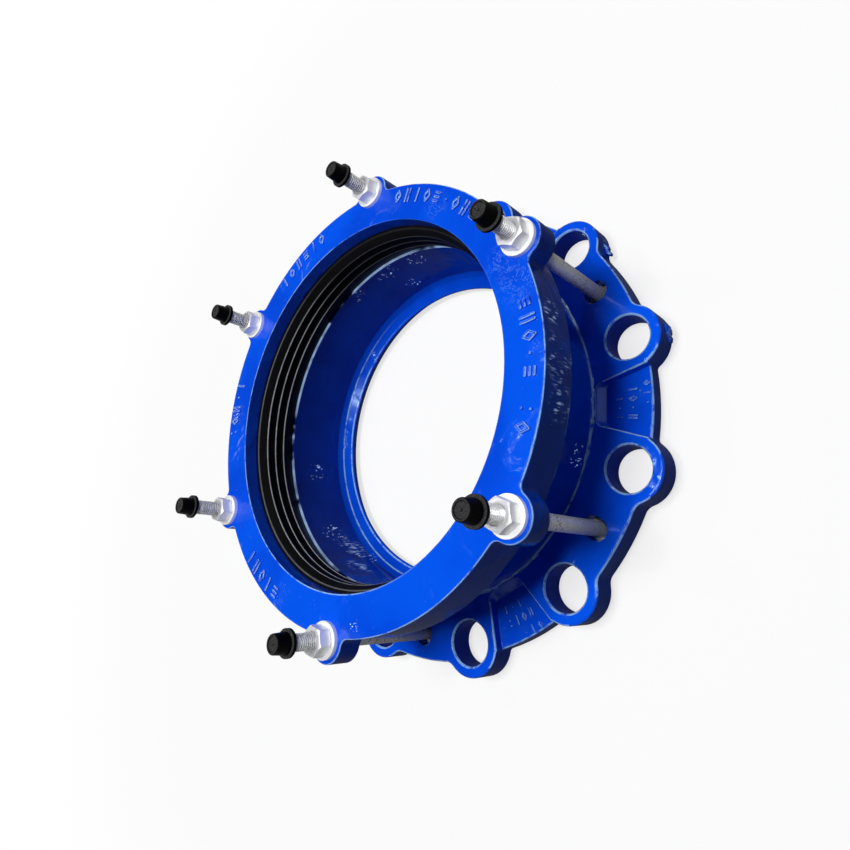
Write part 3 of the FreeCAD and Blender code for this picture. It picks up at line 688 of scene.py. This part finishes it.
def dull_zinc_finish(settings):
    """Zinc on a rolled shank: cloudy, speckled, with drawn lines along the bolt and painted shade low
    down.
    """
    material, zinc = new_finish("dull_zinc")
    place = zinc.place()
    cloud = zinc.noise(place, 130, 4, 0.6, 0.5)
    speck = zinc.noise(place, 900, 3, 0.65)
    drawn = zinc.noise(zinc.stretch(place, (1, 1, 0.06)), 900, 2, 0.5)
    spangle = zinc.cells(place, 420)
    up = zinc.part(place, "Z")
    rolled = zinc.rise(up, *(settings.thread_foot + height for height in ROLLED_HEIGHTS))
    # Painted shade: darker low on the shank, lightening upward.
    low = 1 - zinc.rise(up, *SHADE_HEIGHTS)
    root = 1 - zinc.rise(zinc.from_axis(place),
                         *(settings.thread_radius - depth for depth in ROOT_DEPTHS))
    dirt = zinc.rise(speck * 0.6 + cloud * 0.4, 0.5, 0.62) * (1 - 0.75 * rolled)
    tone = zinc.mix(zinc.rise(cloud + 0.25 * spangle, 0.4, 0.75), settings.shank_colour,
                    ZINC_CLOUD)
    tone = zinc.mix(low * 0.75, tone, ZINC_SHADE)
    tone = zinc.mix(rolled * 0.85, tone, settings.bright_colour)
    zinc.surface({
        # Darker with dirt specks and in the thread's roots.
        "Base Color": zinc.mix(dirt * 0.8 + root * rolled * 0.65, tone, ZINC_DARK),
        "Metallic": 0.6 - 0.25 * dirt - 0.2 * rolled,
        "Roughness": 0.34 + 0.18 * cloud + 0.2 * dirt,
        "Normal": zinc.bump(speck * 0.5 + drawn * 0.35 + spangle * 0.15, ZINC_GRAIN)})
    return material


def bright_zinc_finish(settings):
    """Bright plated zinc: even silver, fine grain and small knocks, darker at the edges."""
    material, zinc = new_finish("bright_zinc")
    place = zinc.place()
    normal, edge = zinc.rounded(PLATING_ROUNDING)
    cloud = zinc.noise(place, 160, 3, 0.55)
    speck = zinc.noise(place, 1300, 3, 0.6)
    knocks = zinc.rise(zinc.noise(place, 520, 3, 0.6), 0.56, 0.7)
    tone = zinc.mix(zinc.rise(cloud, 0.35, 0.7), settings.bright_colour, PLATING_CLOUD)
    # Darker along the edges.
    edge_tone = zinc.mix(edge * 0.8, tone, PLATING_EDGE)
    zinc.surface({
        "Base Color": zinc.mix(knocks * 0.35, edge_tone, PLATING_KNOCK),
        "Metallic": 0.45 - 0.1 * knocks,
        "Roughness": 0.40 + 0.10 * cloud + 0.12 * knocks,
        "Normal": zinc.bump(speck * 0.6 + knocks * 0.4, PLATING_GRAIN, Normal=normal)})
    return material


def cap_finish(settings):
    """Moulded black plastic: fine spark-eroded grain, scuffs on the end and a painted highlight on the
    rims.
    """
    material, plastic = new_finish("black_cap_plastic")
    place = plastic.place()
    normal, edge = plastic.rounded(PLASTIC_ROUNDING)
    grain = plastic.noise(place, 2600, 3, 0.6)
    patch = plastic.noise(place, 260, 3, 0.6)
    speckle = plastic.rise(plastic.noise(place, 1500, 3, 0.7), 0.48, 0.66)
    end = plastic.rise(plastic.facing_up("True Normal"), 0.9, 0.99)
    # Scuffs on the end, and a painted highlight on the rims.
    scuffed_and_highlit = end * (0.35 + 0.65 * speckle) + edge * 1.6 * patch
    plastic.surface({
        "Base Color": plastic.mix(scuffed_and_highlit, settings.colour, PLASTIC_SCUFF_AND_HIGHLIGHT),
        "Roughness": 0.33 + 0.12 * end + 0.14 * (patch - 0.5),
        "Specular IOR Level": 0.04,
        "Normal": plastic.bump(grain + 0.6 * speckle * end, PLASTIC_GRAIN, Normal=normal)})
    return material


def floor_finish(settings):
    """Pale floor, near white in the picture and in far reflections, that keeps the shadow, with painted
    shade near the axis in reflections.
    """
    material, floor = new_finish("pale_floor")
    place = floor.place()
    away = floor.from_axis(place)
    # Painted shade on the floor near the axis, seen only in reflections.
    painted_shade = floor.ray("Glossy") * (1 - floor.rise(away, *FLOOR_BRIGHT))
    seen = floor.seen() * (1 - 0.95 * painted_shade)
    bounce = floor.mix(0.9 * painted_shade, settings.bounce_colour, BLACK)
    matt = floor.node("BsdfPrincipled", {}, {
        "Base Color": floor.mix(seen, bounce, settings.floor_colour),
        "Roughness": 0.9 + 0.05 * floor.noise(place, 3, 3, 0.5),
        "Specular IOR Level": 0.0})
    white = floor.node("Emission", {}, {"Color": WHITE, "Strength": 1.0})
    share = 0.72 + 0.28 * floor.rise(away, *FLOOR_WHITE)
    mixed = floor.node("MixShader", {}, {0: seen * share, 1: matt, 2: white})
    floor.node("OutputMaterial", {}, {"Surface": mixed})
    return material


def dress(node, material):
    """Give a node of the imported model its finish, in every slot."""
    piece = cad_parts[node]
    if not piece.data.materials:
        piece.data.materials.append(material)
    for slot in piece.material_slots:
        slot.material = material
    return piece


def as_object(name, shape, material):
    """Turn a bmesh into a smooth object of the scene and free the bmesh."""
    mesh = bpy.data.meshes.new(name)
    shape.to_mesh(mesh)
    shape.free()
    for face in mesh.polygons:
        face.use_smooth = True
    mesh.materials.append(material)
    piece = bpy.data.objects.new(name, mesh)
    bpy.context.scene.collection.objects.link(piece)
    return piece


def circle(shape, radius, height, segments):
    """Add a circle of points about the upright axis to a bmesh."""
    return [shape.verts.new(polar(radius, 2 * math.pi * step / segments, height))
            for step in range(segments)]


def join_rings(shape, rings):
    """Add the faces between each closed ring of points and the next."""
    for lower, upper in zip(rings, rings[1:]):
        for index in range(len(lower)):
            after = (index + 1) % len(lower)
            shape.faces.new((lower[index], lower[after], upper[after], upper[index]))


def rounded_section(points):
    """A closed section of (radius, height, rounding) in mm with its corners rounded, in metres."""
    rounded = []
    for index, (x, y, rounding) in enumerate(points):
        corner = Vector((x, y))
        before = Vector(points[index - 1][:2]) - corner
        after = Vector(points[(index + 1) % len(points)][:2]) - corner
        turn = before.angle(after)
        reach = min(rounding / math.tan(turn / 2), CORNER_SHARE * min(before.length, after.length))
        start = corner + before.normalized() * reach
        end = corner + after.normalized() * reach
        for step in range(CORNER_STEPS + 1):
            t = step / CORNER_STEPS
            point = start * (1 - t) ** 2 + corner * 2 * t * (1 - t) + end * t ** 2
            rounded.append(mm(*point))
    return rounded


def ridge_point(radius, height, turn):
    """A point of the gasket's section at a turn, where the ridges stray a little from a circle."""
    if radius < RIDGE_RADIUS and height < RIDGE_TOP:
        sway = sum(depth * math.sin(waves * turn + start) for depth, waves, start in RIDGE_SWAYS)
        depth, waves, climb = RIDGE_LIFT
        lift = depth * math.sin(waves * turn + climb * height)
        radius, height = radius + sway * MM, height + lift * MM
    return polar(radius, turn, height)


def turned_gasket(section, segments):
    """A bmesh of the gasket, turned from its closed section."""
    shape = bmesh.new()
    rows = []
    for step in range(segments):
        turn = 2 * math.pi * step / segments
        rows.append([shape.verts.new(ridge_point(*point, turn)) for point in section])
    join_rings(shape, rows + rows[:1])
    bmesh.ops.recalc_face_normals(shape, faces=shape.faces)
    return shape


def cap_nub(radius, foot):
    """A bmesh of the moulding nub on the floor of a cap's dish."""
    shape = bmesh.new()
    rings = [circle(shape, share * radius, foot + height * MM, CAP_NUB_SEGMENTS)
             for share, height in CAP_NUB]
    join_rings(shape, rings)
    tip = shape.verts.new((0, 0, foot + CAP_NUB_TIP))
    for step, point in enumerate(rings[-1]):
        shape.faces.new((point, rings[-1][(step + 1) % CAP_NUB_SEGMENTS], tip))
    return shape


def tie_turn(number):
    """The turn of a tie bolt's place about the pipe's axis, and of a pocket between two of them."""
    return math.radians(TIE_STEP * (number - 1))


def add_shank(shape, settings, head_top):
    """Add a bolt's plain shank, with a small fillet over the head."""
    length = settings.thread_foot - head_top
    levels = [(settings.shank_radius + beyond * MM, head_top + above * MM)
              for beyond, above in SHANK_FILLET]
    levels += [(settings.shank_radius, head_top + length * share) for share in SHANK_LEVELS]
    join_rings(shape, [circle(shape, *level, settings.segments) for level in levels])


def thread_point(settings, pitches, depth, turned):
    """A point of the thread, by its pitches at the turn's start and shares of depth and of turn."""
    top = BOLT_HIGH.z
    climbed = settings.pitch * (pitches + turned)
    height = settings.thread_foot + climbed
    full_radius = settings.thread_radius - settings.thread_depth * depth
    cut = max(0.0, min(1.0, climbed / (THREAD_FADE * settings.pitch)))
    radius = settings.shank_radius + (full_radius - settings.shank_radius) * cut
    end_radius = settings.thread_radius - THREAD_END_STEP
    if height >= top:
        height, radius = top, end_radius
    else:
        radius = min(radius, end_radius + (top - height) * THREAD_END_SLOPE)
    return polar(radius, 2 * math.pi * turned, max(height, settings.thread_foot))


def add_thread(shape, settings):
    """Add a bolt's rolled thread, as one ribbon that climbs a pitch in each turn, and its end."""
    top = BOLT_HIGH.z
    segments = settings.segments
    turns = int((top - settings.thread_foot) / settings.pitch) + 2
    rows = [[shape.verts.new(thread_point(settings, turn + share, depth, step / segments))
             for step in range(segments)]
            for turn in range(-1, turns) for share, depth in THREAD_SECTION]
    for lower, upper in zip(rows, rows[1:]):
        for step in range(segments - 1):
            shape.faces.new((lower[step], lower[step + 1], upper[step + 1], upper[step]))

    # At the end of its turn each row runs into the row that starts one pitch above it.
    higher_rows = rows[len(THREAD_SECTION):]
    for lower, upper, higher, highest in zip(rows, rows[1:], higher_rows, higher_rows[1:]):
        shape.faces.new((lower[-1], higher[0], highest[0], upper[-1]))
    bmesh.ops.remove_doubles(shape, verts=shape.verts, dist=TOUCHING)
    bmesh.ops.dissolve_degenerate(shape, edges=shape.edges, dist=TOUCHING)
    end_edges = [edge for edge in shape.edges
                 if edge.is_boundary and min(point.co.z for point in edge.verts) > top - TOUCHING]
    bmesh.ops.contextual_create(shape, geom=end_edges)


def add_head(shape, size, head_top):
    """Add a bolt's oblong head, with rounded corners and softened edges."""
    edges = [mm(*edge) for edge in HEAD_EDGE]
    levels = [(inset, BOLT_LOW.z + up) for inset, up in edges]
    levels += [(inset, head_top - down) for inset, down in reversed(edges)]
    across, along = size.x / 2 - HEAD_CORNER, size.y / 2 - HEAD_CORNER
    outlines = []
    for inset, height in levels:
        radius = HEAD_CORNER - inset
        outline = []
        for corner, (x, y) in enumerate(((across, along), (-across, along),
                                         (-across, -along), (across, -along))):
            for step in range(HEAD_STEPS + 1):
                turn = math.pi / 2 * (corner + step / HEAD_STEPS)
                outline.append(shape.verts.new(Vector((x, y, height)) + polar(radius, turn)))
        outlines.append(outline)
    join_rings(shape, outlines)
    shape.faces.new(reversed(outlines[0]))
    shape.faces.new(outlines[-1])


def threaded_bolt(settings):
    """A bmesh of a tie bolt about its own axis: shank, rolled thread and oblong head."""
    shape = bmesh.new()
    head_top = BOLT_LOW.z + settings.head_height
    add_shank(shape, settings, head_top)
    add_thread(shape, settings)
    add_head(shape, BOLT_HIGH - BOLT_LOW, head_top)
    bmesh.ops.recalc_face_normals(shape, faces=shape.faces)
    return shape


def raised_stroke(shape, start, end, width, rise, to_face):
    """Add a raised stroke with round ends and drafted sides. to_face maps (along, up, out)."""
    direction = (end - start).normalized()
    side = Vector((-direction.y, direction.x))
    rings = []
    for share, height in STROKE_SECTION:
        radius = width / 2 * share
        ring = []
        for centre, base in ((end, -math.pi / 2), (start, math.pi / 2)):
            for step in range(STROKE_STEPS + 1):
                turn = base + math.pi * step / STROKE_STEPS
                point = centre + (direction * math.cos(turn) + side * math.sin(turn)) * radius
                ring.append(shape.verts.new(to_face(point.x, point.y, height * rise)))
        rings.append(ring)
    join_rings(shape, rings)
    shape.faces.new(rings[-1])


def upright_face(turn, radius, face):
    """The map from (along, up, out) of a mark that stands on an arc to a point of the model."""
    outward = polar(1, turn)
    sideways = polar(1, turn - math.pi / 2)

    def to_face(along, up, out):
        return outward * (radius + up) + sideways * along + Vector((0, 0, face + out))

    return to_face


def row_of_marks(shape, settings, names, turn, row, face, size=1.0):
    """Add a row of marks that stands on an arc about the pipe's axis."""
    radius, cell, height = row
    for index, name in enumerate(names):
        if name == "gap":
            continue
        to_face = upright_face(turn - (index - (len(names) - 1) / 2) * cell / radius, radius, face)
        for stroke in MARKS[name]:
            start, end = (Vector(((x - 0.5) * height * MARK_WIDTH, (y - 0.5) * height))
                          for x, y in stroke)
            raised_stroke(shape, start, end, settings.stroke * size, settings.rise * size, to_face)


def add_nub(shape, index, rise, angle, radius, height, size):
    """Add a rough nub on a lug's side: a flattened globe with a crumpled skin."""
    turn = math.radians(angle)
    centre = polar(radius * MM, turn, height * MM)
    half_sizes = (rise * size, NUB_HALF_WIDTH * size, NUB_HALF_HEIGHT * size, 1)
    grown = bmesh.ops.create_icosphere(
        shape, subdivisions=NUB_SUBDIVISIONS, radius=1,
        matrix=Matrix.Translation(centre) @ Matrix.Rotation(turn, 4, "Z") @ Matrix.Diagonal(half_sizes))
    for point in grown["verts"]:
        x, y, z = point.co / MM
        crumple = math.sin(1.9 * x + index) * math.sin(2.3 * y + 1) + math.sin(2.7 * z + 0.8 * y)
        point.co += polar(NUB_CRUMPLE * crumple, turn)


def add_lamp(name, place, target, power, width, depth):
    """A rectangular lamp aimed at a point."""
    data = bpy.data.lights.new(name, "AREA")
    data.shape = "RECTANGLE"
    data.size, data.size_y = width, depth
    data.energy = power
    lamp = bpy.data.objects.new(name, data)
    bpy.context.scene.collection.objects.link(lamp)
    lamp.location = place
    lamp.visible_camera = False
    lamp.rotation_euler = (Vector(target) - Vector(place)).to_track_quat("-Z", "Y").to_euler()
    return lamp


def add_sky(scene):
    """White to the camera, a white band over the horizon to reflections, and a faint light."""
    world = bpy.data.worlds.new("studio")
    world.use_nodes = True
    scene.world = world
    air = Finish(world.node_tree)
    upward = air.part(air.node("TexCoord", out="Generated"), "Z")
    pale = air.mix(air.rise(upward, *SKY_BAND) * air.ray("Glossy"), WHITE, SKY_DARK)
    soft = air.mix(air.rise(upward, *SKY_FADE), SKY_LOW, SKY_HIGH)
    back = air.node("Background", {}, {
        "Color": air.mix(air.seen(), soft, pale), "Strength": 1.0})
    air.node("OutputWorld", {}, {"Surface": back})


def add_camera(scene):
    data = bpy.data.cameras.new("camera")
    data.sensor_fit = "HORIZONTAL"
    data.sensor_width = CAMERA_FILM
    data.lens = CAMERA_LENS
    data.shift_x, data.shift_y = CAMERA_SHIFT
    data.clip_start, data.clip_end = CAMERA_CLIP
    camera = bpy.data.objects.new("camera", data)
    scene.collection.objects.link(camera)
    camera.location = CAMERA_PLACE
    camera.rotation_euler = [math.radians(turn) for turn in CAMERA_TURN]
    scene.camera = camera


class ADAPTOR_OT_stage(bpy.types.Operator):
    """Make the floor, the soft light and the camera"""

    bl_idname = "adaptor.stage"
    bl_label = "Stage"

    def execute(self, context):
        settings = context.scene.adaptor_stage
        shape = bmesh.new()
        bmesh.ops.create_grid(
            shape, x_segments=FLOOR_CELLS, y_segments=FLOOR_CELLS, size=FLOOR_REACH)
        floor = as_object("floor", shape, floor_finish(settings))
        floor.location.z = FLOOR_HEIGHT
        add_sky(context.scene)
        for name, place, target, power, share, width, depth in LAMPS:
            lamp = add_lamp(name, place, target, getattr(settings, power) * share, width, depth)
            if name == "metal":
                lamp.light_linking.receiver_collection = bpy.data.collections.new(METAL)
        add_camera(context.scene)
        context.scene.view_settings.view_transform = "Standard"
        return {"FINISHED"}


class ADAPTOR_OT_castings(bpy.types.Operator):
    """Coat the body and the clamp ring"""

    bl_idname = "adaptor.castings"
    bl_label = "Castings"

    def execute(self, context):
        coat = coat_finish(context.scene.adaptor_coat)
        for node in ("body", "clamp_ring"):
            dress(node, coat)
        return {"FINISHED"}


class ADAPTOR_OT_gasket(bpy.types.Operator):
    """Turn the ridged rubber gasket"""

    bl_idname = "adaptor.gasket"
    bl_label = "Gasket"

    def execute(self, context):
        settings = context.scene.adaptor_rubber
        shape = turned_gasket(rounded_section(GASKET_SECTION), settings.segments)
        gasket = as_object("gasket_ridged", shape, rubber_finish(settings))
        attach(gasket, "adaptor_body")
        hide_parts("gasket")
        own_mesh(gasket)
        return {"FINISHED"}


class ADAPTOR_OT_tie_bolts(bpy.types.Operator):
    """Make the six tie bolts with their rolled threads"""

    bl_idname = "adaptor.tie_bolts"
    bl_label = "Tie bolts"

    def execute(self, context):
        settings = context.scene.adaptor_bolts
        zinc = dull_zinc_finish(settings)
        for number in TIES:
            bolt = as_object("tie_bolt_%d_threaded" % number, threaded_bolt(settings), zinc)
            bolt.data.set_sharp_from_angle(angle=math.radians(SHARP_ANGLE))
            bpy.data.collections[METAL].objects.link(bolt)
            bolt.location = polar(TIE_RADIUS, tie_turn(number))
            bolt.rotation_euler.z = tie_turn(number)
            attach(bolt, "adaptor_body")
            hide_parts("tie_bolt_%d" % number)
        return {"FINISHED"}


class ADAPTOR_OT_nuts(bpy.types.Operator):
    """Plate the nuts and washers"""

    bl_idname = "adaptor.nuts"
    bl_label = "Nuts and washers"

    def execute(self, context):
        zinc = bright_zinc_finish(context.scene.adaptor_bolts)
        for number in TIES:
            for kind in ("nut", "washer"):
                piece = dress("%s_%d" % (kind, number), zinc)
                bpy.data.collections[METAL].objects.link(piece)
        return {"FINISHED"}


class ADAPTOR_OT_caps(bpy.types.Operator):
    """Finish the caps and add the moulding nub in each dish"""

    bl_idname = "adaptor.caps"
    bl_label = "Caps"

    def execute(self, context):
        settings = context.scene.adaptor_caps
        plastic = cap_finish(settings)
        for number in TIES:
            dress("cap_%d" % number, plastic)
            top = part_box("cap_%d" % number)[1].z
            shape = cap_nub(settings.nub_radius, top - CAP_DISH)
            nub = as_object("cap_%d_nub" % number, shape, plastic)
            nub.location = polar(TIE_RADIUS, tie_turn(number))
            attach(nub, "cap_%d" % number)
        return {"FINISHED"}


class ADAPTOR_OT_marks(bpy.types.Operator):
    """Raise the foundry's plain marks on the ring's face and in the flange's pockets"""

    bl_idname = "adaptor.marks"
    bl_label = "Raised marks"

    def execute(self, context):
        settings = context.scene.adaptor_marks
        coat = bpy.data.materials["blue_epoxy_coat"]
        shape = bmesh.new()
        for angle, names in RING_ROWS:
            row_of_marks(shape, settings, names, math.radians(angle), RING_ROW, RING_FACE)
        marks = as_object("ring_marks", shape, coat)
        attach(marks, "ring")

        shape = bmesh.new()
        for number in TIES:
            for aside, row, size, choices in POCKET_ROWS:
                names = choices[(number - 1) % len(choices)]
                turn = tie_turn(number + 0.5) + math.radians(aside)
                row_of_marks(shape, settings, names, turn, row, POCKET_FLOOR, size)
        marks = as_object("pocket_marks", shape, coat)
        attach(marks, "adaptor_body")
        return {"FINISHED"}


class ADAPTOR_OT_nubs(bpy.types.Operator):
    """Add the rough nubs that fettling left on the flange's lugs"""

    bl_idname = "adaptor.nubs"
    bl_label = "Casting nubs"

    def execute(self, context):
        rise = context.scene.adaptor_marks.nub_rise
        shape = bmesh.new()
        for index, nub in enumerate(NUBS):
            add_nub(shape, index, rise, *nub)
        nubs = as_object("casting_nubs", shape, bpy.data.materials["blue_epoxy_coat"])
        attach(nubs, "adaptor_body")
        return {"FINISHED"}


class ADAPTOR_PT_panel(bpy.types.Panel):
    """The adaptor's pieces and their settings"""

    bl_label = "Flange adaptor"
    bl_idname = "ADAPTOR_PT_panel"
    bl_space_type = "VIEW_3D"
    bl_region_type = "UI"
    bl_category = "Adaptor"

    def draw(self, context):
        scene = context.scene
        for operator, group in STEPS:
            box = self.layout.box()
            box.operator(operator)
            settings = getattr(scene, group)
            for name in settings.__annotations__:
                box.prop(settings, name)


STEPS = (
    ("adaptor.stage", "adaptor_stage"),
    ("adaptor.castings", "adaptor_coat"),
    ("adaptor.gasket", "adaptor_rubber"),
    ("adaptor.tie_bolts", "adaptor_bolts"),
    ("adaptor.nuts", "adaptor_bolts"),
    ("adaptor.caps", "adaptor_caps"),
    ("adaptor.marks", "adaptor_marks"),
    ("adaptor.nubs", "adaptor_marks"),
)

GROUPS = {
    "adaptor_stage": StageSettings,
    "adaptor_coat": CoatSettings,
    "adaptor_rubber": RubberSettings,
    "adaptor_bolts": BoltSettings,
    "adaptor_caps": CapSettings,
    "adaptor_marks": MarkSettings,
}

CLASSES = (
    *GROUPS.values(),
    ADAPTOR_OT_stage,
    ADAPTOR_OT_castings,
    ADAPTOR_OT_gasket,
    ADAPTOR_OT_tie_bolts,
    ADAPTOR_OT_nuts,
    ADAPTOR_OT_caps,
    ADAPTOR_OT_marks,
    ADAPTOR_OT_nubs,
    ADAPTOR_PT_panel,
)


def register():
    for entry in CLASSES:
        bpy.utils.register_class(entry)
    for name, group in GROUPS.items():
        setattr(bpy.types.Scene, name, bpy.props.PointerProperty(type=group))


def unregister():
    for name in GROUPS:
        delattr(bpy.types.Scene, name)
    for entry in reversed(CLASSES):
        bpy.utils.unregister_class(entry)


def main():
    """Build the scene."""
    register()
    for operator, _ in STEPS:
        getattr(bpy.ops.adaptor, operator.split(".")[1])()


if __name__ == "__main__":
    main()
